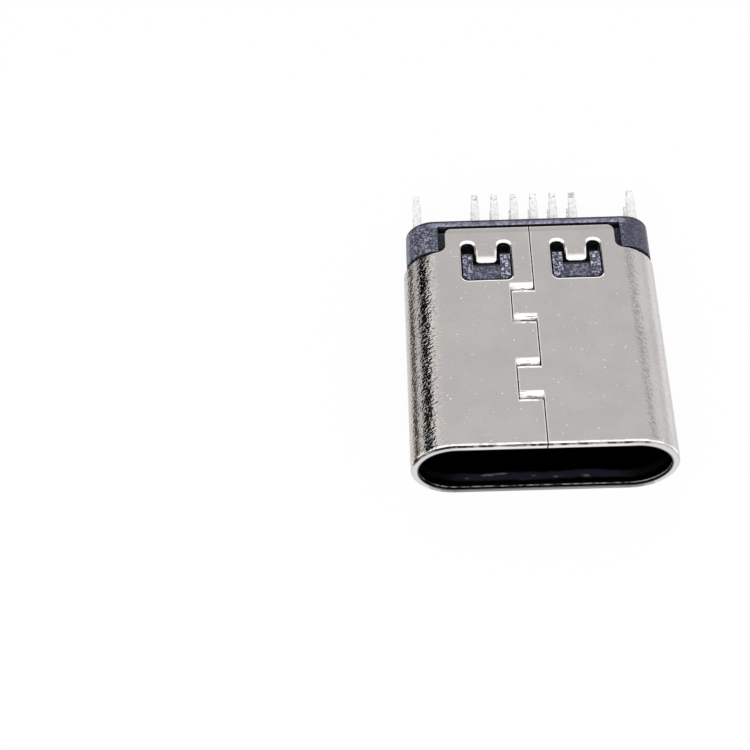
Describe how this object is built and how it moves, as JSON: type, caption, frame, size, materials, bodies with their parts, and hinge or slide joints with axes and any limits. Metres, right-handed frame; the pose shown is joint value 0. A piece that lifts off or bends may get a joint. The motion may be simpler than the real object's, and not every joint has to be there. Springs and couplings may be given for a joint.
{
  "type": "usb-c socket",
  "caption": "Round-ended metal-shelled plug socket with a contact tongue, moulded rear housing and two rows of straight pins that clamp over a board edge.",
  "frame": {"origin": "centre of the mouth, in the plane of the shell's front edge", "axes": "+Y from the mouth back towards the pins, +Z towards the shell's seam side, +X to the right seen from the mouth"},
  "size_m": [0.0088, 0.0112, 0.003],
  "materials": {
    "shell_nickel": "satin nickel plating on steel",
    "housing_plastic": "grainy moulded plastic",
    "carrier_plastic": "moulded plastic",
    "plate_steel": "bare steel",
    "contact_metal": "bright tin plating on copper alloy"
  },
  "bodies": {
    "root": {"shell": "shell_nickel", "rear_housing": "housing_plastic", "upper_contact_carrier": "carrier_plastic", "lower_contact_carrier": "carrier_plastic", "mid_plate": "plate_steel", "contact_a1_ground": "contact_metal", "contact_a4_power": "contact_metal", "contact_a5_config": "contact_metal", "contact_a6_data": "contact_metal", "contact_a7_data": "contact_metal", "contact_a8_sideband": "contact_metal", "contact_a9_power": "contact_metal", "contact_a12_ground": "contact_metal", "contact_b12_ground": "contact_metal", "contact_b9_power": "contact_metal", "contact_b8_sideband": "contact_metal", "contact_b7_data": "contact_metal", "contact_b6_data": "contact_metal", "contact_b5_config": "contact_metal", "contact_b4_power": "contact_metal", "contact_b1_ground": "contact_metal"}
  },
  "joints": []
}
